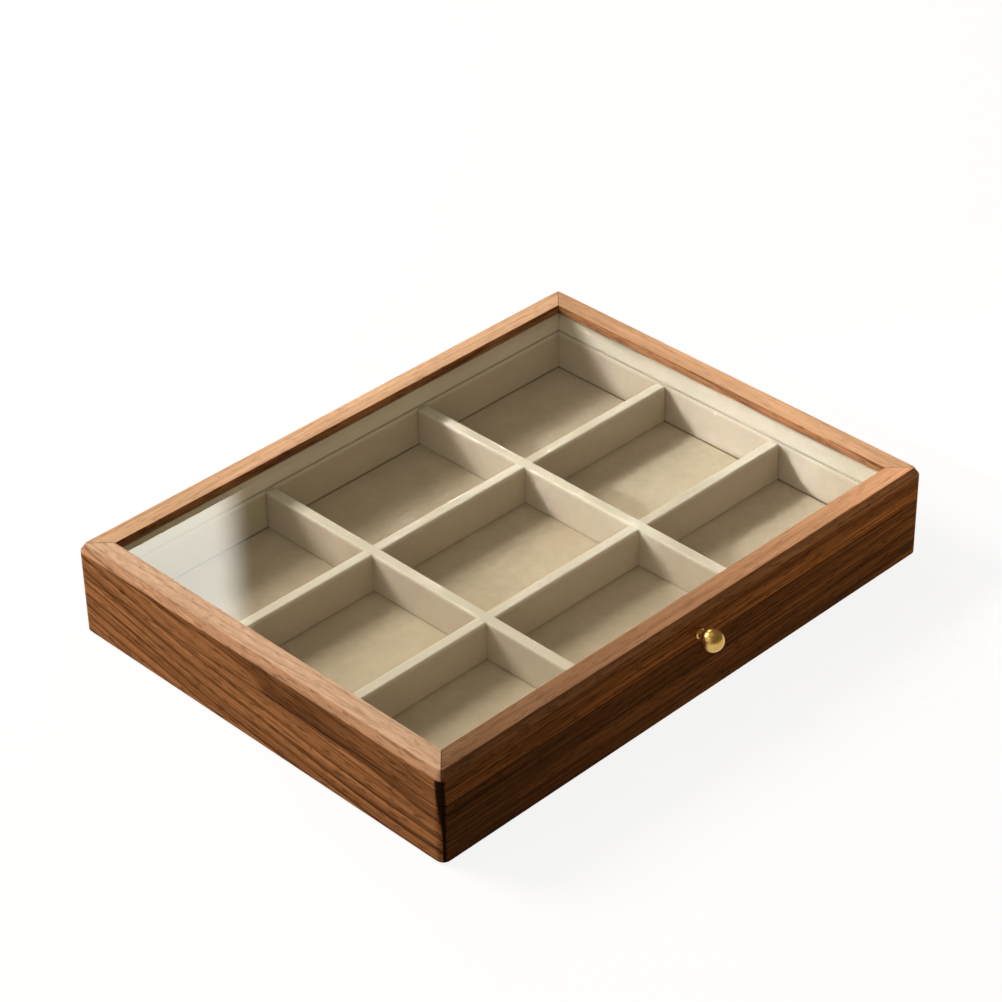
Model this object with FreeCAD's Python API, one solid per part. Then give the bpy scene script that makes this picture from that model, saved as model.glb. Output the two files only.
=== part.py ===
import FreeCAD, Part
import math
import os

# Shallow walnut jewelry box with a hinged glass lid and a velvet divider grid, in millimetres.
# The origin is the centre of the underside: +X to the right, the front faces -Y, +Z is up.

# The closed box
box_width = 330.0
box_depth = 250.0
base_height = 33.0
lid_height = 18.3
corner_radius = 4.5
foot_ease = 1.2
seam_ease = 0.3

# Walnut walls and the plywood bottom in their rebate
wall_thickness = 8.0
panel_thickness = 6.0
panel_rebate = 4.0
panel_gap = 0.2

# Velvet covered boards that line the floor, the walls and the lid
floor_thickness = 4.0
floor_gap = 0.4
floor_round = 0.8
liner_thickness = 2.5
liner_seam_gap = 0.5
liner_end_gap = 0.2
liner_round = 1.0

# Velvet covered divider grid, halved where two boards cross
columns = 3
rows = 3
divider_thickness = 6.2
divider_drop = 1.0
divider_round = 2.0
divider_end_gap = 0.2
halving_gap = 0.15

# Mitred lid frame: a lip over the rebate that takes the glass
rail_width = 13.4
lip_thickness = 4.4
lip_ease = 0.5
bevel_width = 2.8
bevel_drop = 4.0
arris_round = 0.5
glass_thickness = 3.0
glass_gap = 0.5
glass_seam = 0.4

# Brass stop hinges, let into the seam, with tails that meet when the lid is open
hinge_edge_distance = 65.0
hinge_length = 32.0
leaf_thickness = 1.2
leaf_margin = 1.8
leaf_sink = 0.1
mortise_gap = 0.15
knuckle_count = 3
knuckle_radius = 2.2
knuckle_gap = 0.2
barrel_gap = 0.3
tail_length = 3.4
open_angle = 95.0
stop_slack_angle = 2.0
pin_radius = 1.1
pin_clearance = 0.05
pin_proud = 0.4

# Countersunk screws of the hinge leaves, with flat sides in place of a round
screw_sides = 16
screw_spacing = 18.0
screw_length = 9.0
screw_radius = 0.95
screw_head_radius = 1.75
screw_gap = 0.05
slot_width = 0.5
slot_depth = 0.45

# Turned brass knob and the machine screw that holds it
knob_rise = 6.6
ball_radius = 5.8
ball_reach = 9.1
collar_radius = 2.7
collar_height = 2.2
collar_ease = 0.4
neck_radius = 2.1
knob_screw_radius = 1.25
knob_screw_head_radius = 2.5
knob_screw_hold = 5.0

# Common values
overrun = 5.0
tolerance = 0.001
full_turn = 360.0
fillet_limit_share = 0.9

# Places worked out from the sizes above
box_height = base_height + lid_height
inner = {"x": box_width - 2 * wall_thickness, "y": box_depth - 2 * wall_thickness}
clear = {"x": inner["x"] - 2 * liner_thickness, "y": inner["y"] - 2 * liner_thickness}
sight = {"x": box_width - 2 * rail_width, "y": box_depth - 2 * rail_width}
floor_top = panel_thickness + floor_thickness
divider_top = base_height - divider_drop
glass_top = box_height - lip_thickness
glass_bottom = glass_top - glass_thickness
back_face = box_depth / 2
hinge_axis_y = back_face + barrel_gap + knuckle_radius
leaf_width = wall_thickness - leaf_margin
knob_height = base_height + knob_rise
sides = {"front": ("y", -1), "back": ("y", 1), "left": ("x", -1), "right": ("x", 1)}
hinge_offset = box_width / 2 - hinge_edge_distance
hinge_places = {"left": -hinge_offset, "right": hinge_offset}


def vector(x, y, z):
    return FreeCAD.Vector(x, y, z)


def block(low, high):
    """Upright block between two opposite corners."""
    size = high - low
    return Part.makeBox(size.x, size.y, size.z, low)


def centred_block(width, depth, bottom, top):
    """Upright block centred on the Z axis."""
    return block(vector(-width / 2, -depth / 2, bottom), vector(width / 2, depth / 2, top))


def edges_where(solid, **place):
    """Edges whose ends all lie at the given coordinates."""
    def lies_there(edge):
        return all(abs(getattr(end.Point, axis) - value) < tolerance
                   for end in edge.Vertexes for axis, value in place.items())
    return [edge for edge in solid.Edges if lies_there(edge)]


def many_sided(rings):
    """Upright solid with flat sides all round Z, through rings of a given (radius, height)."""
    turns = [math.radians(full_turn) * side / screw_sides for side in range(screw_sides)]
    corners = [[vector(radius * math.cos(turn), radius * math.sin(turn), height) for turn in turns]
               for radius, height in rings]
    outlines = [corners[0], corners[-1]]
    for low, high in zip(corners, corners[1:]):
        outlines += [[low[side - 1], low[side], high[side], high[side - 1]] for side in range(screw_sides)]
    faces = [Part.Face(Part.makePolygon(outline + outline[:1])) for outline in outlines]
    return Part.makeSolid(Part.makeShell(faces))


def placed(solid, point, direction):
    """The solid with its own Z axis laid along a direction from a point."""
    copy = solid.copy()
    copy.Placement = FreeCAD.Placement(point, FreeCAD.Rotation(vector(0, 0, 1), direction))
    return copy


def rounded_outline(inset, height):
    """The box's outer line at one height, drawn in all round by an inset, with its corners rounded."""
    half_x, half_y = box_width / 2 - inset, box_depth / 2 - inset
    radius = corner_radius - inset
    middle = radius * (1 - math.sqrt(1 / 2))
    edges = []
    for way_x, way_y in ((1, 1), (-1, 1), (-1, -1), (1, -1)):
        on_side = vector(way_x * half_x, way_y * (half_y - radius), height)
        on_round = vector(way_x * (half_x - middle), way_y * (half_y - middle), height)
        on_end = vector(way_x * (half_x - radius), way_y * half_y, height)
        ends = (on_side, on_end) if way_x == way_y else (on_end, on_side)
        if edges:
            edges.append(Part.makeLine(edges[-1].lastVertex().Point, ends[0]))
        edges.append(Part.Arc(ends[0], on_round, ends[1]).toShape())
    edges.append(Part.makeLine(edges[-1].lastVertex().Point, edges[0].firstVertex().Point))
    return Part.Wire(edges)


def rounded_body(bottom, top):
    """The box's outer form between two heights, with its upright corners rounded."""
    return Part.Face(rounded_outline(0, bottom)).extrude(vector(0, 0, top - bottom))


def broken_edge(body, height, ease):
    """The body with the sharp edge all round it at one height planed off."""
    limit = corner_radius * fillet_limit_share
    return body.makeChamfer(min(ease, limit), edges_where(body, z=height))


def bevelled_body(bottom, top):
    """The box's outer form with a steep bevel all round its top, whose two arrises are softened."""
    shoulder = top - bevel_drop
    inset = min(bevel_width, corner_radius * fillet_limit_share)
    outlines = [rounded_outline(0, shoulder), rounded_outline(inset, top)]
    body = rounded_body(bottom, shoulder).fuse(Part.makeLoft(outlines, True, True)).removeSplitter()
    return body.makeFillet(arris_round, edges_where(body, z=top) + edges_where(body, z=shoulder))


def mitred_side(frame, side):
    """One side of a four sided frame, cut from it at 45 degrees at both corners."""
    reach = max(rail_width, wall_thickness) + 2 * overrun
    outer_x, outer_y = box_width / 2 + overrun, box_depth / 2 + overrun
    inner_x, inner_y = outer_x - reach, outer_y - reach
    axis, sign = sides[side]
    if axis == "y":
        outline = [(-outer_x, outer_y), (outer_x, outer_y), (inner_x, inner_y), (-inner_x, inner_y)]
        corners = [(x, sign * y) for x, y in outline]
    else:
        outline = [(outer_x, -outer_y), (outer_x, outer_y), (inner_x, inner_y), (inner_x, -inner_y)]
        corners = [(sign * x, y) for x, y in outline]
    foot = Part.makePolygon([vector(x, y, -overrun) for x, y in corners + corners[:1]])
    wedge = Part.Face(foot).extrude(vector(0, 0, box_height + 2 * overrun))
    return frame.common(wedge).Solids[0]


def base_walls():
    """Four mitred walls with a rebate along the foot for the bottom panel."""
    frame = broken_edge(rounded_body(0, base_height), 0, foot_ease)
    frame = broken_edge(frame, base_height, seam_ease)
    frame = frame.cut(centred_block(inner["x"], inner["y"], -overrun, base_height + overrun))
    pocket_x, pocket_y = inner["x"] + 2 * panel_rebate, inner["y"] + 2 * panel_rebate
    frame = frame.cut(centred_block(pocket_x, pocket_y, -overrun, panel_thickness))
    return {side: mitred_side(frame, side) for side in sides}


def lid_rails():
    """Four mitred rails: bevelled outside, rebated inside under the lip that holds the glass."""
    frame = bevelled_body(base_height, box_height)
    frame = broken_edge(frame, base_height, seam_ease)
    frame = frame.cut(centred_block(sight["x"], sight["y"], base_height - overrun, box_height + overrun))
    frame = frame.cut(centred_block(inner["x"], inner["y"], base_height - overrun, glass_top))
    rails = {}
    for side, (axis, sign) in sides.items():
        rail = mitred_side(frame, side)
        lip_edge = edges_where(rail, **{axis: sign * sight[axis] / 2, "z": box_height})
        rails[side] = rail.makeFillet(lip_ease, lip_edge)
    return rails


def bottom_panel():
    width = inner["x"] + 2 * (panel_rebate - panel_gap)
    depth = inner["y"] + 2 * (panel_rebate - panel_gap)
    return centred_block(width, depth, 0, panel_thickness)


def floor_board():
    """Velvet covered board that lies on the bottom panel between the wall liners."""
    width, depth = clear["x"] - 2 * floor_gap, clear["y"] - 2 * floor_gap
    board = centred_block(width, depth, panel_thickness, floor_top)
    return board.makeFillet(floor_round, edges_where(board, z=floor_top))


def liner(side, bottom, top, soft_height):
    """Velvet covered board against one wall, with its inner edge rounded at one height."""
    axis, sign = sides[side]
    wall = sign * inner[axis] / 2
    face = sign * clear[axis] / 2
    near, far = sorted((wall, face))
    if axis == "y":
        half_length = inner["x"] / 2 - liner_end_gap
        board = block(vector(-half_length, near, bottom), vector(half_length, far, top))
    else:
        half_length = clear["y"] / 2 - liner_end_gap
        board = block(vector(near, -half_length, bottom), vector(far, half_length, top))
    return board.makeFillet(liner_round, edges_where(board, **{axis: face, "z": soft_height}))


def divider_places(axis, count):
    """Middle of each divider that splits the clear span into equal compartments."""
    cell = (clear[axis] - (count - 1) * divider_thickness) / count
    first = cell + divider_thickness / 2 - clear[axis] / 2
    return [first + index * (cell + divider_thickness) for index in range(count - 1)]


def divider(axis, place, crossings):
    """Upright velvet board along one axis, slotted to half its height at each crossing."""
    half_length = clear[axis] / 2 - divider_end_gap
    half_thickness = divider_thickness / 2
    halving_height = (floor_top + divider_top) / 2
    slot_half = half_thickness + halving_gap
    if axis == "x":
        across = "y"
        board = block(vector(-half_length, place - half_thickness, floor_top),
                      vector(half_length, place + half_thickness, divider_top))
        slots = [block(vector(x - slot_half, place - divider_thickness, halving_height - halving_gap),
                       vector(x + slot_half, place + divider_thickness, divider_top + overrun))
                 for x in crossings]
    else:
        across = "x"
        board = block(vector(place - half_thickness, -half_length, floor_top),
                      vector(place + half_thickness, half_length, divider_top))
        slots = [block(vector(place - divider_thickness, y - slot_half, floor_top - overrun),
                       vector(place + divider_thickness, y + slot_half, halving_height))
                 for y in crossings]
    limit = half_thickness * fillet_limit_share
    for face in (place - half_thickness, place + half_thickness):
        top_edge = edges_where(board, **{across: face, "z": divider_top})
        board = board.makeFillet(min(divider_round, limit), top_edge)
    return board.cut(Part.makeCompound(slots)).Solids[0]


def lid_glass():
    """Pane with ground edges that lies up against the lip inside the rebate."""
    pane = centred_block(inner["x"] - 2 * glass_gap, inner["y"] - 2 * glass_gap, glass_bottom, glass_top)
    return pane.makeChamfer(glass_seam, pane.Edges)


def countersunk(head_radius, shank_radius, length, gap=0):
    """Screw with a 90 degree countersunk head, or its hole where a gap all round is given."""
    neck = head_radius - shank_radius
    return many_sided([(head_radius + 2 * gap, -gap), (shank_radius + gap, neck),
                       (shank_radius + gap, length + gap)])


def slotted_screw(head_radius, shank_radius, length):
    screw = countersunk(head_radius, shank_radius, length)
    slot = centred_block(2 * (head_radius + overrun), slot_width, -overrun, slot_depth)
    return screw.cut(slot).Solids[0]


def leaf_screw_points(centre, direction):
    """Head places of one leaf's screws: on the leaf's face, half way across it."""
    height = base_height + direction * leaf_sink
    across = back_face - leaf_width / 2
    return [vector(centre + step * screw_spacing / 2, across, height) for step in (-1, 1)]


def leaf_screws(direction):
    """The screws of both leaves on one side of the seam, one solid each."""
    screw = slotted_screw(screw_head_radius, screw_radius, screw_length)
    points = [point for centre in hinge_places.values() for point in leaf_screw_points(centre, direction)]
    return [placed(screw, point, vector(0, 0, direction)) for point in points]


def leaf_screw_holes(centre, direction):
    hole = countersunk(screw_head_radius, screw_radius, screw_length, screw_gap)
    return [placed(hole, point, vector(0, 0, direction)) for point in leaf_screw_points(centre, direction)]


def hinge_mortises(direction):
    """Shallow pockets, open at the back, that sink the leaves into the seam, with their pilot holes."""
    cutters = []
    half_length = hinge_length / 2 + mortise_gap
    depth = direction * (leaf_sink + leaf_thickness)
    bottom, top = sorted((base_height - direction * overrun, base_height + depth))
    for centre in hinge_places.values():
        cutters.append(block(vector(centre - half_length, back_face - leaf_width - mortise_gap, bottom),
                             vector(centre + half_length, back_face + overrun, top)))
        cutters += leaf_screw_holes(centre, direction)
    return cutters


def knuckle_spans(first):
    """Start and end along the pin of every second knuckle, counted from the first."""
    pitch = hinge_length / knuckle_count
    starts = [index * pitch - hinge_length / 2 for index in range(first, knuckle_count, 2)]
    return [(start + knuckle_gap / 2, start + pitch - knuckle_gap / 2) for start in starts]


def tail_bar(start, end, inner_radius):
    """Flat stop bar behind the barrel, its upper face on a plane through the pin's axis."""
    slope = math.radians((open_angle + stop_slack_angle) / 2)
    out_y, out_z = math.cos(slope), -math.sin(slope)
    pin_axis = vector(start, hinge_axis_y, base_height)
    outward, downward = vector(0, out_y, out_z), vector(0, out_z, -out_y)
    outer_radius = knuckle_radius + tail_length
    upper = [pin_axis + outward * radius for radius in (inner_radius, outer_radius)]
    lower = [point + downward * leaf_thickness for point in reversed(upper)]
    section = Part.Face(Part.makePolygon(upper + lower + upper[:1]))
    return section.extrude(vector(end - start, 0, 0))


def rod(radius, start, end):
    """Round bar on the pin's axis between two places along it."""
    return Part.makeCylinder(radius, end - start, vector(start, hinge_axis_y, base_height), vector(1, 0, 0))


def hinge_leaf(centre, direction):
    """Leaf plate, its knuckles round the pin and its stop tail; direction -1 is the base leaf."""
    half_length = (hinge_length - knuckle_gap) / 2
    low, high = base_height - leaf_sink - leaf_thickness, base_height - leaf_sink
    leaf = block(vector(-half_length, back_face - leaf_width, low), vector(half_length, back_face, high))
    leaf = leaf.fuse(tail_bar(-half_length, half_length, knuckle_radius + barrel_gap))
    for start, end in knuckle_spans(0 if direction < 0 else 1):
        barrel = rod(knuckle_radius, start, end)
        tongue = block(vector(start, back_face, low), vector(end, hinge_axis_y, high))
        leaf = leaf.fuse([barrel, tongue, tail_bar(start, end, 0)])
    bore = rod(pin_radius + pin_clearance, -half_length - overrun, half_length + overrun)
    leaf = leaf.cut(bore).cut(Part.makeCompound(leaf_screw_holes(0, -1))).removeSplitter()
    if direction > 0:
        leaf = leaf.mirror(vector(0, 0, base_height), vector(0, 0, 1))
    leaf = leaf.Solids[0]
    leaf.translate(vector(centre, 0, 0))
    return leaf


def hinge_pin(centre):
    """Pin through all knuckles, a little proud at both ends."""
    half_length = hinge_length / 2 + pin_proud
    return rod(pin_radius, centre - half_length, centre + half_length)


def knob():
    """Collar, short neck and ball, turned in one piece and drilled for its screw."""
    ball_foot = ball_reach - math.sqrt(ball_radius ** 2 - neck_radius ** 2)
    ball_end = ball_reach + ball_radius
    collar_top = vector(collar_radius - collar_ease, 0, collar_height)
    neck_end = vector(neck_radius, 0, ball_foot)
    tip = vector(0, 0, ball_end)
    flank = Part.makePolygon([vector(0, 0, 0), vector(collar_radius, 0, 0),
                              vector(collar_radius, 0, collar_height - collar_ease), collar_top,
                              vector(neck_radius, 0, collar_height), neck_end])
    ball = Part.Arc(neck_end, vector(ball_radius, 0, ball_reach), tip).toShape()
    axis = Part.makeLine(tip, vector(0, 0, 0))
    profile = Part.Face(Part.Wire(flank.Edges + [ball, axis]))
    body = profile.revolve(vector(0, 0, 0), vector(0, 0, 1), full_turn)
    body = placed(body, vector(0, -box_depth / 2, knob_height), vector(0, -1, 0))
    return body.cut(knob_screw_hole()).Solids[0]


def knob_screw_place():
    return vector(0, wall_thickness - box_depth / 2, knob_height), vector(0, -1, 0)


def knob_screw():
    """Machine screw from inside the rail into the knob."""
    length = wall_thickness + knob_screw_hold
    screw = slotted_screw(knob_screw_head_radius, knob_screw_radius, length)
    return placed(screw, *knob_screw_place())


def knob_screw_hole():
    length = wall_thickness + knob_screw_hold
    hole = countersunk(knob_screw_head_radius, knob_screw_radius, length, screw_gap)
    return placed(hole, *knob_screw_place())


def base_nodes():
    nodes = {f"base_{side}_wall": wall for side, wall in base_walls().items()}
    nodes["base_back_wall"] = nodes["base_back_wall"].cut(Part.makeCompound(hinge_mortises(-1))).Solids[0]
    nodes["bottom_panel"] = bottom_panel()
    nodes["floor_board"] = floor_board()
    liner_top = base_height - liner_seam_gap
    for side in sides:
        nodes[f"base_{side}_liner"] = liner(side, panel_thickness, liner_top, liner_top)
    across_x, across_y = divider_places("x", columns), divider_places("y", rows)
    for name, place in zip(("front", "rear"), across_y):
        nodes[f"long_divider_{name}"] = divider("x", place, across_x)
    for name, place in zip(("left", "right"), across_x):
        nodes[f"short_divider_{name}"] = divider("y", place, across_y)
    for name, centre in hinge_places.items():
        nodes[f"{name}_hinge_base_leaf"] = hinge_leaf(centre, -1)
        nodes[f"{name}_hinge_pin"] = hinge_pin(centre)
    nodes["base_leaf_screws"] = Part.makeCompound(leaf_screws(-1))
    return nodes


def lid_nodes():
    nodes = {f"lid_{side}_rail": rail for side, rail in lid_rails().items()}
    nodes["lid_back_rail"] = nodes["lid_back_rail"].cut(Part.makeCompound(hinge_mortises(1))).Solids[0]
    nodes["lid_front_rail"] = nodes["lid_front_rail"].cut(knob_screw_hole()).Solids[0]
    nodes["lid_glass"] = lid_glass()
    liner_foot = base_height + liner_seam_gap
    for side in sides:
        nodes[f"lid_{side}_liner"] = liner(side, liner_foot, glass_bottom, liner_foot)
    for name, centre in hinge_places.items():
        nodes[f"{name}_hinge_lid_leaf"] = hinge_leaf(centre, 1)
    nodes["lid_leaf_screws"] = Part.makeCompound(leaf_screws(1))
    nodes["knob"] = knob()
    nodes["knob_screw"] = knob_screw()
    return nodes


os.makedirs("parts", exist_ok=True)
for node, shape in {**base_nodes(), **lid_nodes()}.items():
    shape.exportStep(f"parts/{node}.step")
    print(node, len(shape.Solids), shape.isValid(), round(shape.Volume, 1))
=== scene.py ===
import math

import bpy
import numpy as np
from mathutils import Matrix, Vector


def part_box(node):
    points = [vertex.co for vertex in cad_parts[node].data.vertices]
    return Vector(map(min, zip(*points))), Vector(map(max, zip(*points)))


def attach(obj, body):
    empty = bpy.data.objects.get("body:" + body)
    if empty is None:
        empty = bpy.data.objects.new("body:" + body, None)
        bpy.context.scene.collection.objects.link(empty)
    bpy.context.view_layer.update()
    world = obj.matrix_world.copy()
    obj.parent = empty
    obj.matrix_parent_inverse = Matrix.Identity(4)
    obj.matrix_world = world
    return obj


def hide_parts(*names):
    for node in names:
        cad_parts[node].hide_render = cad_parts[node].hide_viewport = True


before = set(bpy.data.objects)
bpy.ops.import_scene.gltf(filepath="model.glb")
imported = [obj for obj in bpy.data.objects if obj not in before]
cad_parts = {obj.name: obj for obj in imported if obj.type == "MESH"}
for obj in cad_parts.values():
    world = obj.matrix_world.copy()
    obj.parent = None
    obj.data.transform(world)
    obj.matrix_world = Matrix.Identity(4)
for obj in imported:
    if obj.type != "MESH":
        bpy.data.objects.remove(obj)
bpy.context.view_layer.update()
scene = bpy.context.scene
millimetre = 0.001

# Base walls
# Four walnut boards, mitred at the corners, glued and oiled. Growth rings, fibres and pores run along
# each board. The wall and the lid rail of one side are sawn from one board, so the figure runs on across
# the seam. Noise sizes are features per metre along, across and up the board.
half_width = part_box("base_right_wall")[1].x
half_depth, seam_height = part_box("base_back_wall")[1].yz
box_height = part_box("lid_back_rail")[1].z
ring_width = 4.4 * millimetre
ring_wander = 9.0 * millimetre
ring_tremble = 1.4 * millimetre
wander_noise = (7, 45, 45)
tremble_noise = (16, 420, 420)
band_noise = (4, 130, 130)
fibre_noise = (9, 620, 620)
fine_fibre_noise = (18, 1100, 1100)
pore_noise = (120, 850, 850)
late_wood_start = (0.50, 0.90)
late_wood_end = (0.92, 1.0)
late_wood_share = 0.22
band_weight = 0.9
fibre_weight = 1.6
fine_fibre_weight = 1.3
figure_middle = 1.9
grain_shares = ((0.0, 0.30), (0.35, 0.72), (0.60, 1.10), (1.0, 1.75))
grain_warmth = (1.0, 1.12, 1.25)
top_contrast_share = 0.32
pore_edges = (0.56, 0.66)
pore_depths = (0.55, 0.25)
pore_shade = 0.2
knot_size = (2.4 * millimetre, 1.1 * millimetre)
knot_raggedness = 0.8
knot_edges = (0.5, 1.8)
knot_depth = 1.1
bevel_height = 4.0 * millimetre
top_slopes = (0.20, 0.95)
flat_slopes = (0.75, 0.95)
# Dark glue lines at the mitres; the same dark colour at the seam is painted shade in its groove.
glue_line = 0.16 * millimetre
glue_blur = 2.5
glue_share = 0.75
glue_and_seam_shade_colour = (0.020, 0.010, 0.006, 1.0)
seam_line = 0.30 * millimetre
seam_blur = 1.6
seam_share = 0.65
# A dark strip on the rounded front left corner is painted shade.
corner_shade_blur = 0.8 * millimetre
corner_shade_share = 0.95
corner_shade_colour = (0.010, 0.003, 0.001, 1.0)
wood_gloss = (0.38, 0.60)
wood_relief = 0.25 * millimetre


def node(tree, kind, sockets=(), **settings):
    """Adds a shader node. sockets maps an input's name or number to a value or to another node's output."""
    made = tree.nodes.new(kind)
    for name, value in settings.items():
        setattr(made, name, value)
    for name, value in dict(sockets).items():
        if isinstance(value, bpy.types.NodeSocket):
            tree.links.new(value, made.inputs[name])
        else:
            made.inputs[name].default_value = value
    return made


def maths(tree, operation, first, second=0.0, clamp=False):
    """The result of one arithmetic step on two values."""
    step = node(tree, "ShaderNodeMath", {0: first, 1: second}, operation=operation, use_clamp=clamp)
    return step.outputs[0]


def weighted_sum(tree, *terms):
    """Adds up values, each times its weight."""
    total = maths(tree, "MULTIPLY", *terms[0])
    for value, weight in terms[1:]:
        total = maths(tree, "ADD", total, maths(tree, "MULTIPLY", value, weight))
    return total


def remap(tree, value, low, high, to_low=0.0, to_high=1.0):
    """Carries a range of values on to another one, smoothly and without overshoot."""
    sockets = {"Value": value, "From Min": low, "From Max": high, "To Min": to_low, "To Max": to_high}
    return node(tree, "ShaderNodeMapRange", sockets, interpolation_type="SMOOTHSTEP").outputs["Result"]


def stretched_noise(tree, place, frequency, detail, roughness):
    """Cloud noise with its own frequency, in features per metre, along each axis."""
    scaled = node(tree, "ShaderNodeVectorMath", {0: place, 1: frequency}, operation="MULTIPLY").outputs[0]
    sockets = {"Vector": scaled, "Scale": 1.0, "Detail": detail, "Roughness": roughness}
    return node(tree, "ShaderNodeTexNoise", sockets).outputs["Fac"]


def colour_ramp(tree, factor, stops):
    """Blends between (place, colour) stops along a factor from 0 to 1."""
    ramp = node(tree, "ShaderNodeValToRGB", {"Fac": factor})
    elements = ramp.color_ramp.elements
    while len(elements) < len(stops):
        elements.new(0.5)
    for element, (place, colour) in zip(elements, stops):
        element.position = place
        element.color = (*colour, 1.0)
    return ramp.outputs["Color"]


def blend_colours(tree, factor, first, second):
    """Mixes two colours by a factor."""
    sockets = {0: factor, 6: first, 7: second}
    return node(tree, "ShaderNodeMix", sockets, data_type="RGBA").outputs[2]


def new_material(name):
    """An empty node material and its output node."""
    material = bpy.data.materials.new(name)
    material.use_nodes = True
    material.node_tree.nodes.clear()
    return material, node(material.node_tree, "ShaderNodeOutputMaterial")


def dress(material, *names):
    """Gives solids of the frame one finish."""
    for name in names:
        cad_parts[name].data.materials.clear()
        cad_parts[name].data.materials.append(material)


def grain_tones(colour, contrast):
    """Colour stops from dark late wood to pale early wood: the darker a stop, the warmer its colour."""
    shades = [(place, 1 + contrast * (shade - 1)) for place, shade in grain_shares]
    return [(place, tuple(part * shade ** power for part, power in zip(colour, grain_warmth)))
            for place, shade in shades]


def walnut(name, along, shift, drift, bow, heart, face_colour, painted_sheen_top_colour, ring_depth=0.3, fibre_depth=0.7,
           lean=0.0, lid_gain=(1.0, 1.0), corner_shade=None, knot=None):
    """Walnut with its grain along X or Y.

    Growth rings are shells of equal distance from the tree's heart, a line that drifts and bows in height
    along the board: ring = fract(sqrt(beside^2 + above^2) / ring_width), with noise added to the distance.
    Bands, fibres and pores are noise drawn out along the same bent line. The top faces take a paler colour,
    the wood's tone with a painted sheen, and its differences from board to board are painted light and
    shade. lean is the gain in brightness per metre along the board and lid_gain the gain on the lid's face,
    at the seam and at the bevel. knot is the (place along, height) of a small dark pit and corner_shade the
    (width at the foot, width at the bevel) of a strip of painted shade at the board's low end, on the
    rounded corner. The mitre shows as a fine dark glue line, and the seam as a fine line of painted shade
    in its groove.
    """
    material, output = new_material(name)
    tree = material.node_tree
    place = node(tree, "ShaderNodeTexCoord")
    turn = (0, 0, 0.0 if along == "x" else -math.pi / 2)
    board = node(tree, "ShaderNodeMapping", {"Vector": place.outputs["Object"], "Rotation": turn})
    length, across, height = node(tree, "ShaderNodeSeparateXYZ", {0: board.outputs[0]}).outputs
    squared = maths(tree, "MULTIPLY", length, length)
    bent_height = maths(tree, "SUBTRACT", height, weighted_sum(tree, (length, drift), (squared, bow)))
    bent = node(tree, "ShaderNodeCombineXYZ", {0: length, 1: across, 2: bent_height}).outputs[0]
    bent = node(tree, "ShaderNodeVectorMath", {0: bent, 1: shift}, operation="ADD").outputs[0]

    wander = stretched_noise(tree, bent, wander_noise, detail=2.0, roughness=0.5)
    tremble = stretched_noise(tree, bent, tremble_noise, detail=3.0, roughness=0.6)
    beside = maths(tree, "SUBTRACT", across, heart[0])
    above = maths(tree, "SUBTRACT", bent_height, heart[1])
    squares = weighted_sum(tree, (beside, beside), (above, above))
    radius = weighted_sum(tree, (maths(tree, "SQRT", squares), 1.0), (wander, ring_wander),
                          (tremble, ring_tremble))
    ring = maths(tree, "FRACT", maths(tree, "DIVIDE", radius, ring_width))
    late_wood = maths(tree, "SUBTRACT", remap(tree, ring, *late_wood_start),
                      remap(tree, ring, *late_wood_end))

    band = stretched_noise(tree, bent, band_noise, detail=2.0, roughness=0.5)
    fibre = stretched_noise(tree, bent, fibre_noise, detail=3.0, roughness=0.6)
    fine_fibre = stretched_noise(tree, bent, fine_fibre_noise, detail=2.0, roughness=0.5)
    pore = remap(tree, stretched_noise(tree, bent, pore_noise, detail=1.0, roughness=0.5), *pore_edges)
    figure = weighted_sum(tree, (band, band_weight), (fibre, fibre_weight), (fine_fibre, fine_fibre_weight))
    figure = maths(tree, "SUBTRACT", figure, figure_middle)
    tone = weighted_sum(tree, (figure, fibre_depth), (late_wood, -ring_depth))
    tone = maths(tree, "ADD", tone, 0.5 + late_wood_share * ring_depth)
    if knot is not None:
        beside = maths(tree, "DIVIDE", maths(tree, "SUBTRACT", length, knot[0]), knot_size[0])
        above = maths(tree, "DIVIDE", maths(tree, "SUBTRACT", height, knot[1]), knot_size[1])
        squares = weighted_sum(tree, (beside, beside), (above, above), (fine_fibre, knot_raggedness))
        tone = maths(tree, "SUBTRACT", tone, remap(tree, squares, *knot_edges, knot_depth, 0.0), clamp=True)

    upward = node(tree, "ShaderNodeSeparateXYZ", {0: place.outputs["Normal"]}).outputs[2]
    shoulder = box_height - bevel_height
    near_top = maths(tree, "GREATER_THAN", height, shoulder - bevel_height)
    topside = maths(tree, "MULTIPLY", remap(tree, upward, *top_slopes), near_top)
    # The top faces' paler colour is the wood's tone under a painted sheen.
    colour = blend_colours(tree, topside, colour_ramp(tree, tone, grain_tones(face_colour, 1.0)),
                           colour_ramp(tree, tone, grain_tones(painted_sheen_top_colour, top_contrast_share)))
    pore_depth = maths(tree, "MULTIPLY", pore, remap(tree, topside, 0.0, 1.0, *pore_depths))
    colour = blend_colours(tree, pore_depth, colour, (*(pore_shade * part for part in face_colour), 1.0))

    on_lid = maths(tree, "SUBTRACT", maths(tree, "GREATER_THAN", height, seam_height), topside, clamp=True)
    lid_extra = remap(tree, height, seam_height, shoulder, lid_gain[0] - 1, lid_gain[1] - 1)
    gain = maths(tree, "MULTIPLY", maths(tree, "ADD", maths(tree, "MULTIPLY", on_lid, lid_extra), 1.0),
                 maths(tree, "ADD", maths(tree, "MULTIPLY", length, lean), 1.0))
    colour = node(tree, "ShaderNodeVectorMath", {0: colour, "Scale": gain}, operation="SCALE").outputs[0]
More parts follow.
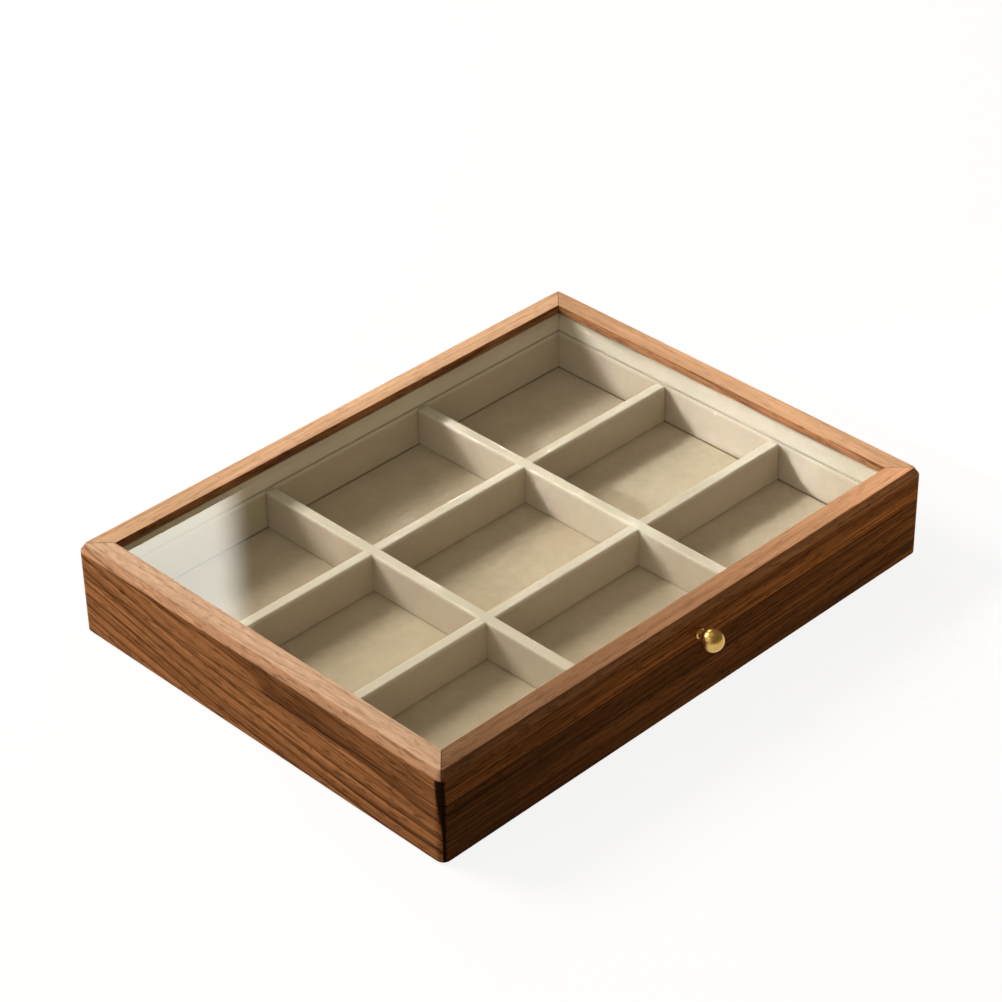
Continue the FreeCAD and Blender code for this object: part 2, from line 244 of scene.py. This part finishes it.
    # Painted shade: a dark strip on the rounded corner at the board's low end.
    if corner_shade is not None:
        from_low_end = maths(tree, "ADD", length, half_width if along == "x" else half_depth)
        edge = maths(tree, "SUBTRACT", from_low_end, remap(tree, height, 0.0, shoulder, *corner_shade))
        corner_shaded = maths(tree, "MULTIPLY", remap(tree, edge, -corner_shade_blur, corner_shade_blur, corner_shade_share, 0.0),
                        remap(tree, height, shoulder - corner_shade_blur, shoulder, 1.0, 0.0))
        colour = blend_colours(tree, corner_shaded, colour, corner_shade_colour)

    x, y, _ = node(tree, "ShaderNodeSeparateXYZ", {0: place.outputs["Object"]}).outputs
    from_side = maths(tree, "SUBTRACT", half_width, maths(tree, "ABSOLUTE", x))
    from_end = maths(tree, "SUBTRACT", half_depth, maths(tree, "ABSOLUTE", y))
    from_mitre = maths(tree, "ABSOLUTE", maths(tree, "SUBTRACT", from_side, from_end))
    joint = remap(tree, from_mitre, glue_line, glue_blur * glue_line, glue_share, 0.0)
    # The mitre's dark line is glue; the seam's dark line is painted shade in the groove between lid and
    # base.
    from_seam = maths(tree, "ABSOLUTE", maths(tree, "SUBTRACT", height, seam_height))
    upright = remap(tree, maths(tree, "ABSOLUTE", upward), *flat_slopes, 1.0, 0.0)
    seam = remap(tree, from_seam, seam_line, seam_blur * seam_line, seam_share, 0.0)
    seam = maths(tree, "MULTIPLY", seam, upright)
    colour = blend_colours(tree, maths(tree, "MAXIMUM", joint, seam), colour, glue_and_seam_shade_colour)

    relief = weighted_sum(tree, (fine_fibre, 0.4), (pore, -1.0))
    bump = node(tree, "ShaderNodeBump", {"Height": relief, "Strength": 0.25, "Distance": wood_relief})
    surface = node(tree, "ShaderNodeBsdfPrincipled", {
        "Base Color": colour, "Roughness": remap(tree, fibre, 0.0, 1.0, *wood_gloss),
        "Normal": bump.outputs[0], "Specular IOR Level": 0.01})
    tree.links.new(surface.outputs[0], output.inputs["Surface"])
    return material


# Top colours: the wood's tone with painted sheen; their differences from board to board are painted light
# and shade.
board_finishes = {
    "front": walnut("walnut_front", "x", shift=(0.31, 0.12, 0.40), drift=0.012, bow=0.0,
                    heart=(-0.060, -0.020),
                    face_colour=(0.285, 0.115, 0.036), painted_sheen_top_colour=(0.345, 0.184, 0.100),
                    ring_depth=0.2, fibre_depth=0.9, lean=2.8, lid_gain=(1.85, 1.16),
                    corner_shade=(2.7 * millimetre, 2.7 * millimetre)),
    "back": walnut("walnut_back", "x", shift=(0.77, 0.45, 0.13), drift=-0.018, bow=0.05,
                   heart=(0.050, 0.070),
                   face_colour=(0.270, 0.121, 0.051), painted_sheen_top_colour=(0.555, 0.346, 0.212)),
    "left": walnut("walnut_left", "y", shift=(0.13, 0.58, 0.91), drift=0.115, bow=0.325,
                   heart=(0.128, 0.046),
                   face_colour=(0.368, 0.159, 0.062), painted_sheen_top_colour=(0.550, 0.362, 0.250),
                   ring_depth=0.42, fibre_depth=0.6, lid_gain=(0.90, 1.0),
                   corner_shade=(0.2 * millimetre, 4.2 * millimetre), knot=(0.0919, 0.0392)),
    "right": walnut("walnut_right", "y", shift=(0.52, 0.83, 0.27), drift=0.030, bow=-0.10,
                    heart=(-0.120, 0.010),
                    face_colour=(0.270, 0.121, 0.051), painted_sheen_top_colour=(0.440, 0.258, 0.147)),
}
for side, board_finish in board_finishes.items():
    dress(board_finish, f"base_{side}_wall")

# Bottom panel
# A birch plywood panel lies in a rebate under the walls, so that only its plain underside shows.
# Its face veneer has pale, even grain along the width.
streak_noise = (5, 160, 160)
fleck_noise = (90, 900, 900)
birch_tones = [(0.25, (0.42, 0.27, 0.14)), (0.55, (0.60, 0.43, 0.26)), (0.85, (0.70, 0.54, 0.36))]
birch_relief = 0.2 * millimetre


def birch_plywood():
    """Pale veneer: long soft streaks along X with faint darker flecks."""
    material, output = new_material("birch_plywood")
    tree = material.node_tree
    place = node(tree, "ShaderNodeTexCoord").outputs["Object"]
    streak = stretched_noise(tree, place, streak_noise, detail=4.0, roughness=0.6)
    fleck = stretched_noise(tree, place, fleck_noise, detail=2.0, roughness=0.5)
    tone = weighted_sum(tree, (streak, 0.8), (fleck, 0.25))
    bump = node(tree, "ShaderNodeBump", {"Height": tone, "Strength": 0.1, "Distance": birch_relief})
    surface = node(tree, "ShaderNodeBsdfPrincipled", {
        "Base Color": colour_ramp(tree, tone, birch_tones), "Roughness": 0.7,
        "Normal": bump.outputs[0], "Specular IOR Level": 0.3})
    tree.links.new(surface.outputs[0], output.inputs["Surface"])
    return material


dress(birch_plywood(), "bottom_panel")

# Floor board and wall liners
# Thin boards wrapped in short pile beige velvet. The floor board lies on the bottom panel and the liners
# are glued to the walls. The cloth rounds every edge, and its pile all but closes the seam under the lid.
board_ways = {"front": "x", "back": "x", "left": "y", "right": "y"}
arc_steps = 6
quarter = np.linspace(0, math.pi / 2, arc_steps + 1)
lining_round = 0.4 * millimetre
floor_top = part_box("floor_board")[1].z
divider_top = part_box("long_divider_front")[1].z
# Painted shade in the crease at the boards' foot and along the seam under the lid.
crease_height = 0.7 * millimetre
seam_pile = 0.38 * millimetre
crease_shade_colour = (0.110, 0.065, 0.032, 1.0)
# Painted highlight: from the dividers' tops up, the velvet is painted paler.
lit_top_depth = 3.0 * millimetre
lit_top_share = 0.8
lit_top_colour = (0.78, 0.750, 0.660, 1.0)
# Painted light: upright faces are blended to a greyer colour, the colour of the light on them.
upright_light_share = 0.5
upright_light_colour = (0.600, 0.545, 0.470, 1.0)
flat_share = 0.05
sharp_angle = math.radians(50)
nap_noise = (60, 60, 60)
brushed_noise = (260, 260, 260)
pile_noise = (1700, 1700, 1700)
velvet_tones = [(0.20, (0.435, 0.370, 0.275)), (0.50, (0.565, 0.492, 0.380)), (0.80, (0.695, 0.625, 0.500))]
upright_slopes = (0.4, 0.8)
foot_share = 0.7
# The velvet's dark seam line is painted shade.
velvet_seam_line = 1.4 * seam_line
velvet_seam_edge = 2.5 * seam_line
velvet_seam_share = 0.85
velvet_relief = 0.3 * millimetre
sheen_tint = (1.0, 0.96, 0.88, 1.0)
notch_round = 0.15 * millimetre
ridge_turns = np.linspace(-math.pi / 2, math.pi / 2, 25)
ridge_reach = 1.01


def beige_velvet():
    """Short pile: soft mottling where the nap lies differently, fine pile grain, and a pale sheen.

    Upright faces are blended to a greyer colour, the painted colour of the light on them, and they get
    painted shade in the crease at their foot and along the seam. From the dividers' tops up, the colour is
    painted paler, a painted highlight on the lit tops.
    """
    material, output = new_material("beige_velvet")
    tree = material.node_tree
    texture = node(tree, "ShaderNodeTexCoord").outputs
    place = texture["Object"]
    nap = stretched_noise(tree, place, nap_noise, detail=3.0, roughness=0.6)
    brushed = stretched_noise(tree, place, brushed_noise, detail=3.0, roughness=0.65)
    pile = stretched_noise(tree, place, pile_noise, detail=2.0, roughness=0.6)
    tone = weighted_sum(tree, (nap, 0.35), (brushed, 0.35), (pile, 0.30))
    colour = colour_ramp(tree, tone, velvet_tones)
    upward = node(tree, "ShaderNodeSeparateXYZ", {0: texture["Normal"]}).outputs[2]
    upright = remap(tree, maths(tree, "ABSOLUTE", upward), *upright_slopes, 1.0, 0.0)
    # Painted light: a greyer colour on upright faces.
    upright_light = maths(tree, "MULTIPLY", upright, upright_light_share)
    colour = blend_colours(tree, upright_light, colour, upright_light_colour)
    height = node(tree, "ShaderNodeSeparateXYZ", {0: place}).outputs[2]
    # Painted highlight: paler from the dividers' tops up.
    lit_top = remap(tree, height, divider_top - lit_top_depth, divider_top, 0.0, lit_top_share)
    colour = blend_colours(tree, lit_top, colour, lit_top_colour)
    # Painted shade: upright faces darken in the crease at their foot and along the seam.
    foot = remap(tree, height, floor_top + crease_height / 2, floor_top + crease_height, foot_share, 0.0)
    from_seam = maths(tree, "ABSOLUTE", maths(tree, "SUBTRACT", height, seam_height))
    seam = remap(tree, from_seam, velvet_seam_line, velvet_seam_edge, velvet_seam_share, 0.0)
    crease_shade = maths(tree, "MULTIPLY", maths(tree, "MAXIMUM", foot, seam), upright)
    colour = blend_colours(tree, crease_shade, colour, crease_shade_colour)
    bump = node(tree, "ShaderNodeBump", {"Height": pile, "Strength": 0.35, "Distance": velvet_relief})
    surface = node(tree, "ShaderNodeBsdfPrincipled", {
        "Base Color": colour, "Roughness": 0.95, "Normal": bump.outputs[0], "Specular IOR Level": 0.08,
        "Sheen Weight": 0.18, "Sheen Roughness": 0.45, "Sheen Tint": sheen_tint})
    tree.links.new(surface.outputs[0], output.inputs["Surface"])
    return material


velvet_finish = beige_velvet()


def mesh_piece(name, points, faces, material):
    """A new object at the origin, from points and faces, smooth but for its sharp corners."""
    mesh = bpy.data.meshes.new(name)
    mesh.from_pydata(points.tolist(), [], faces)
    mesh.polygons.foreach_set("use_smooth", np.ones(len(mesh.polygons), bool))
    mesh.set_sharp_from_angle(angle=sharp_angle)
    mesh.materials.append(material)
    mesh.update()
    piece = bpy.data.objects.new(name, mesh)
    scene.collection.objects.link(piece)
    return piece


def rounded_sections(low, high, radius):
    """Closed outlines of rectangles with rounded corners, one row of points for each station.

    low and high are (stations, 2) arrays of opposite corners. Each corner is a quarter circle about a
    centre one radius inside both edges, and each straight run has two more points near its ends, which
    keep it flat.
    """
    signs = np.array([(-1, -1), (1, -1), (1, 1), (-1, 1)])
    angles = math.pi + np.arange(4)[:, None] * math.pi / 2 + quarter
    arcs = radius * np.stack([np.cos(angles), np.sin(angles)], -1)
    centres = np.where(signs < 0, low[:, None] + radius, high[:, None] - radius)
    corners = centres[:, :, None] + arcs
    leaving = corners[:, :, -1:]
    arriving = np.roll(corners, -1, axis=1)[:, :, :1]
    near = leaving + (arriving - leaving) * flat_share
    far = arriving + (leaving - arriving) * flat_share
    return np.concatenate([corners, near, far], axis=2).reshape(len(low), -1, 2)


def velvet_board(name, node_name, body, along, radius, cuts=(), cut_level=None, cut_from="top", ridges=(),
                 pile_below=0.0, pile_above=0.0):
    """A cloth covered board in the place of its solid, with its pile standing out below or above it.

    A rounded section is carried along X or Y. At both ends it shrinks on a quarter circle. cuts are the
    (middle, width) places of square notches from the top or the bottom to cut_level, whose lips fall on a
    quarter circle. Over ridges, the (middle, width) places of the boards that it bridges, the top is the
    higher of its own rounded section and theirs: z = top - radius + sqrt(radius^2 - t^2), with t the way
    out on their round.
    """
    low, high = (np.array(corner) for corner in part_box(node_name))
    low[2] -= pile_below
    high[2] += pile_above
    axis, across = (0, 1) if along == "x" else (1, 0)
    rise, fall = radius * (1 - np.cos(quarter)), radius * (1 - np.sin(quarter))
    stations, shrink, sunk = [low[axis] + rise], [fall], [fall]
    depth = 0.0 if cut_level is None else (high[2] - cut_level if cut_from == "top" else cut_level - low[2])
    for middle, width in cuts:
        lip = np.append(notch_round * (np.sin(quarter) - 1), flat_share * notch_round) - width / 2
        drop = np.append(notch_round * (1 - np.cos(quarter)), depth)
        stations += [middle + lip, middle - lip[::-1]]
        shrink += [np.zeros(len(lip))] * 2
        sunk += [drop, drop[::-1]]
    stations = np.concatenate(stations + [high[axis] - rise[::-1]])
    shrink = np.concatenate(shrink + [fall[::-1]])
    sunk = np.concatenate(sunk + [fall[::-1]])
    for middle, width in ridges:
        closer = np.union1d(stations, middle + width / 2 * np.sin(ridge_turns))
        shrink, sunk = np.interp(closer, stations, shrink), np.interp(closer, stations, sunk)
        stations = closer
    floor_line = low[2] + (shrink if cut_from == "top" else sunk)
    top_line = high[2] - (sunk if cut_from == "top" else shrink)
    section_low = np.column_stack([low[across] + shrink, floor_line])
    section_high = np.column_stack([high[across] - shrink, top_line])
    sections = rounded_sections(section_low, section_high, radius)
    for middle, width in ridges:
        offset = np.abs(stations - middle)
        out = np.clip(offset - width / 2 + radius, 0, radius)
        ridge = np.where(offset <= width / 2, high[2] - radius + np.sqrt(radius ** 2 - out ** 2), low[2])
        heights = sections[..., 1]
        above = np.maximum(heights, ridge[:, None])
        sections[..., 1] = np.where(heights > high[2] - ridge_reach * radius, above, heights)
    rows, count = sections.shape[:2]
    points = np.empty((rows, count, 3))
    points[..., axis] = stations[:, None]
    points[..., across] = sections[..., 0]
    points[..., 2] = sections[..., 1]
    first = np.arange(rows - 1)[:, None] * count + np.arange(count)
    second = np.arange(rows - 1)[:, None] * count + np.roll(np.arange(count), -1)
    skin = np.stack([first, second, second + count, first + count], -1).reshape(-1, 4).tolist()
    near_end, far_end = list(range(count))[::-1], list(range((rows - 1) * count, rows * count))
    faces = skin + [near_end, far_end]
    if along == "y":
        faces = [face[::-1] for face in faces]
    piece = mesh_piece(name, points.reshape(-1, 3), faces, velvet_finish)
    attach(piece, body)
    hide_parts(node_name)


velvet_board("floor_board_velvet", "floor_board", "base", "x", lining_round)
for side, along in board_ways.items():
    velvet_board(f"base_{side}_liner_velvet", f"base_{side}_liner", "base", along, lining_round,
                 pile_above=seam_pile)

# Dividers
# Four velvet covered boards stand on the floor board in a grid. The long ones are notched from above and
# the short ones from below, each to half its height, so that they slide into each other and their tops
# run level.
divider_round = 1.0 * millimetre
halving_gap = 0.05 * millimetre
long_dividers = ("long_divider_front", "long_divider_rear")
short_dividers = ("short_divider_left", "short_divider_right")


def crossings(names, axis, gap):
    """The (middle, width) that boards running the other way take up, with a gap at both sides."""
    boxes = [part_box(name) for name in names]
    return [((low[axis] + high[axis]) / 2, high[axis] - low[axis] + 2 * gap) for low, high in boxes]


divider_low, divider_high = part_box(long_dividers[0])
halving_level = (divider_low.z + divider_high.z) / 2
for name in long_dividers:
    velvet_board(f"{name}_velvet", name, "base", "x", divider_round,
                 crossings(short_dividers, 0, halving_gap), halving_level - halving_gap, "top")
for name in short_dividers:
    velvet_board(f"{name}_velvet", name, "base", "y", divider_round,
                 crossings(long_dividers, 1, halving_gap), halving_level + halving_gap, "bottom",
                 ridges=crossings(long_dividers, 1, 0.0))

# Hinges
# Two brass butt hinges sunk into the back wall and the back rail, each leaf held by brass screws.
# Tails behind the knuckles meet when the lid stands open and stop it.
brass_light = (0.76, 0.51, 0.16)
brass_dark = (0.50, 0.30, 0.075)
brass_gloss = (0.24, 0.40)
brass_relief = 0.05 * millimetre
brushing_noise = (500, 4200, 4200)
tarnish_noise = (130, 130, 130)


def satin_brass():
    """Yellow brass: fine brushing as short noise streaks, and slow tarnish in tone and gloss."""
    material, output = new_material("satin_brass")
    tree = material.node_tree
    place = node(tree, "ShaderNodeTexCoord").outputs["Object"]
    brushing = stretched_noise(tree, place, brushing_noise, detail=2.0, roughness=0.6)
    tarnish = stretched_noise(tree, place, tarnish_noise, detail=3.0, roughness=0.6)
    tone = weighted_sum(tree, (brushing, 0.35), (tarnish, 0.65))
    colour = colour_ramp(tree, tone, [(0.30, brass_dark), (0.65, brass_light)])
    bump = node(tree, "ShaderNodeBump", {"Height": brushing, "Strength": 0.06, "Distance": brass_relief})
    surface = node(tree, "ShaderNodeBsdfPrincipled", {
        "Base Color": colour, "Metallic": 1.0, "Roughness": remap(tree, tarnish, 0.2, 0.8, *brass_gloss),
        "Normal": bump.outputs[0]})
    tree.links.new(surface.outputs[0], output.inputs["Surface"])
    return material


brass_finish = satin_brass()
for hand in ("left", "right"):
    dress(brass_finish, f"{hand}_hinge_base_leaf", f"{hand}_hinge_lid_leaf", f"{hand}_hinge_pin")
dress(brass_finish, "base_leaf_screws", "lid_leaf_screws")

# Lid frame
# Four mitred walnut rails, rebated for the glass, each from the same board as the wall under it.
# Velvet strips glued inside the rails hold the glass up in its rebate.
for side, board_finish in board_finishes.items():
    dress(board_finish, f"lid_{side}_rail")
for side, along in board_ways.items():
    velvet_board(f"lid_{side}_liner_velvet", f"lid_{side}_liner", "lid", along, lining_round,
                 pile_below=seam_pile)

# Glass pane
# Clear float glass with ground edges, lying on the velvet strips under the rails' lip.
glass_tint = (0.980, 0.985, 0.975, 1.0)
glass_index = 1.5
both_faces_index = 1.9


def clear_glass():
    """Clear glass. Light and looks go straight through, as through a thin pane, and the face that light
    enters by mirrors for both faces, so its index there is higher. In mirrors it bends light as solid
    glass does.
    """
    material, output = new_material("clear_glass")
    tree = material.node_tree
    pane = node(tree, "ShaderNodeBsdfPrincipled", {
        "Base Color": glass_tint, "Roughness": 0.0, "IOR": glass_index, "Transmission Weight": 1.0})
    fresnel = node(tree, "ShaderNodeFresnel", {"IOR": both_faces_index}).outputs[0]
    back_face = node(tree, "ShaderNodeNewGeometry").outputs["Backfacing"]
    mirrored = maths(tree, "MULTIPLY", fresnel, maths(tree, "SUBTRACT", 1.0, back_face))
    open_way = node(tree, "ShaderNodeBsdfTransparent", {"Color": glass_tint})
    mirror = node(tree, "ShaderNodeBsdfGlossy", {"Roughness": 0.0})
    thin = node(tree, "ShaderNodeMixShader", {0: mirrored, 1: open_way.outputs[0], 2: mirror.outputs[0]})
    path = node(tree, "ShaderNodeLightPath").outputs
    lighting = maths(tree, "MAXIMUM", path["Is Shadow Ray"], path["Is Diffuse Ray"])
    straight = maths(tree, "MAXIMUM", path["Is Camera Ray"], lighting)
    both = node(tree, "ShaderNodeMixShader", {0: straight, 1: pane.outputs[0], 2: thin.outputs[0]})
    tree.links.new(both.outputs[0], output.inputs["Surface"])
    return material


dress(clear_glass(), "lid_glass")

# Knob
# A turned brass ball on a collar, held through the front rail by a steel screw from inside.
# The ball has the same satin brass as the hinges.
steel_light = (0.56, 0.56, 0.57)
steel_dark = tuple(0.8 * part for part in steel_light)
steel_gloss = (0.28, 0.42)
turning_noise = (900, 5000, 900)


def plain_steel():
    """Grey steel with fine turning marks and slightly uneven gloss."""
    material, output = new_material("plain_steel")
    tree = material.node_tree
    place = node(tree, "ShaderNodeTexCoord").outputs["Object"]
    marks = stretched_noise(tree, place, turning_noise, detail=2.0, roughness=0.6)
    colour = colour_ramp(tree, marks, [(0.3, steel_dark), (0.7, steel_light)])
    surface = node(tree, "ShaderNodeBsdfPrincipled", {
        "Base Color": colour, "Metallic": 1.0, "Roughness": remap(tree, marks, 0.2, 0.8, *steel_gloss)})
    tree.links.new(surface.outputs[0], output.inputs["Surface"])
    return material


dress(brass_finish, "knob")
dress(plain_steel(), "knob_screw")

# Studio floor
# A wide white floor fills the view. It is white to the eye, in mirrors and through glass, with part of it
# matt so that the shadow stays, and it throws only a little light back on the box.
floor_reach = 12.0
floor_drop = 0.2 * millimetre
floor_white = (1.0, 1.0, 1.0, 1.0)
floor_bounce = (0.18, 0.15, 0.12, 1.0)
floor_glow_share = 0.88


def studio_white():
    """White that glows where it is looked at, and a plain dull matt colour where it only lights the box."""
    material, output = new_material("studio_white")
    tree = material.node_tree
    path = node(tree, "ShaderNodeLightPath")
    seen = maths(tree, "MAXIMUM", path.outputs["Is Camera Ray"], path.outputs["Is Glossy Ray"])
    seen = maths(tree, "MAXIMUM", seen, path.outputs["Is Transmission Ray"])
    glow = node(tree, "ShaderNodeEmission", {"Color": floor_white, "Strength": 1.0})
    matt = node(tree, "ShaderNodeBsdfDiffuse", {"Color": floor_white})
    bounce = node(tree, "ShaderNodeBsdfDiffuse", {"Color": floor_bounce})
    white = node(tree, "ShaderNodeMixShader", {0: floor_glow_share, 1: matt.outputs[0], 2: glow.outputs[0]})
    both = node(tree, "ShaderNodeMixShader", {0: seen, 1: bounce.outputs[0], 2: white.outputs[0]})
    tree.links.new(both.outputs[0], output.inputs["Surface"])
    return material


floor_corners = floor_reach * np.array([(-1, -1, 0), (1, -1, 0), (1, 1, 0), (-1, 1, 0)])
floor_corners[:, 2] -= floor_drop
studio_floor = mesh_piece("studio_floor", floor_corners, [[0, 1, 2, 3]], studio_white())

# Studio light
# A soft warm key stands behind the left corner, a broad fill at the left and a soft panel overhead. A small
# panel with a grid lights the box's right side, with a soft edge. An upright panel at the back shows in the
# glass at its left corner. The air adds even light and looks white.
box_middle = (0, 0, 0.03)
air_colour = (1.0, 0.78, 0.50, 1.0)
air_strength = 0.24
key_colour = (1.0, 0.92, 0.81)
grid_colour = (1.0, 1.0, 1.0)
fill_colour = (1.0, 0.98, 0.95)
mirror_colour = (1.0, 1.0, 0.91)
mirror_panel_edge = Vector((1.006, 1.445, 1.28))
mirror_panel_width = 0.60
mirror_panel_height = 1.10
soft_edge_share = 0.08
grid_spread = math.radians(6)


def light_panel(name, place, aim, width, height, brightness, colour):
    """A rectangular soft light at a place, turned to its aim, whose surface has the given brightness."""
    data = bpy.data.lights.new(name, "AREA")
    data.shape = "RECTANGLE"
    data.size = width
    data.size_y = height
    data.energy = brightness * math.pi * width * height
    data.color = colour
    panel = bpy.data.objects.new(name, data)
    panel.location = place
    panel.rotation_euler = (Vector(aim) - Vector(place)).to_track_quat("-Z", "Y").to_euler()
    scene.collection.objects.link(panel)
    return panel


light_panel("key", place=(-0.80, 1.745, 1.60), aim=box_middle, width=1.0, height=1.0, brightness=22.5,
            colour=key_colour)
light_panel("left_fill", place=(-2.10, 0.20, 1.30), aim=box_middle, width=2.2, height=1.8, brightness=0.7,
            colour=fill_colour)
light_panel("overhead", place=(-0.20, 0.20, 2.40), aim=(-0.20, 0.20, 0.0), width=1.2, height=1.2,
            brightness=0.6, colour=fill_colour)
grid_panel = light_panel("grid_panel", place=(-1.90, 1.20, 1.30), aim=(0.235, -0.08, 0.03), width=0.2,
                         height=0.2, brightness=1.65, colour=grid_colour)
grid_panel.data.spread = grid_spread
toward_box = Vector((-mirror_panel_edge.x, -mirror_panel_edge.y, 0)).normalized()
mirror_panel_place = mirror_panel_edge + Vector((toward_box.y, -toward_box.x, 0)) * mirror_panel_width / 2
mirror_panel = light_panel("mirror_panel", place=mirror_panel_place, aim=mirror_panel_place + toward_box,
                           width=mirror_panel_width, height=mirror_panel_height, brightness=5.4,
                           colour=mirror_colour)
mirror_panel.data.use_nodes = True
mirror_tree = mirror_panel.data.node_tree
across_panel = node(mirror_tree, "ShaderNodeSeparateXYZ",
                    {0: node(mirror_tree, "ShaderNodeNewGeometry").outputs["Parametric"]}).outputs[0]
mirror_tree.links.new(remap(mirror_tree, across_panel, 0.0, soft_edge_share),
                      mirror_tree.nodes["Emission"].inputs["Strength"])
air = bpy.data.worlds.new("studio_air")
air.use_nodes = True
air_tree = air.node_tree
air_path = node(air_tree, "ShaderNodeLightPath").outputs
looked_at = maths(air_tree, "MAXIMUM", air_path["Is Camera Ray"], air_path["Is Transmission Ray"])
air_light = node(air_tree, "ShaderNodeBackground", {"Color": air_colour, "Strength": air_strength})
air_white = node(air_tree, "ShaderNodeBackground", {"Color": floor_white, "Strength": 1.0})
air_both = node(air_tree, "ShaderNodeMixShader",
                {0: looked_at, 1: air_light.outputs[0], 2: air_white.outputs[0]})
air_tree.links.new(air_both.outputs[0], air_tree.nodes["World Output"].inputs["Surface"])
scene.world = air

# Viewpoint
# The box is seen with a long lens from above its front left corner, turned a little about the line of
# sight. Angles are in radians, and lens and sensor in millimetres.
view_yaw = -0.776112
view_pitch = 0.604480
view_roll = 0.016535
view_place = Vector((-0.8639, -0.8768, 0.9036))
view_lens = 111.19
view_sensor = 36.0
view_near = 0.01

forward = Vector((-math.sin(view_yaw) * math.cos(view_pitch),
                  math.cos(view_yaw) * math.cos(view_pitch), -math.sin(view_pitch)))
level_right = Vector((math.cos(view_yaw), math.sin(view_yaw), 0))
level_down = forward.cross(level_right)
right = level_right * math.cos(view_roll) + level_down * math.sin(view_roll)
down = level_down * math.cos(view_roll) - level_right * math.sin(view_roll)
view_data = bpy.data.cameras.new("view")
view_data.lens = view_lens
view_data.sensor_width = view_sensor
view_data.clip_start = view_near
view = bpy.data.objects.new("view", view_data)
view.matrix_world = Matrix.Translation(view_place) @ Matrix((right, -down, -forward)).transposed().to_4x4()
scene.collection.objects.link(view)
scene.camera = view
scene.view_settings.view_transform = "Standard"
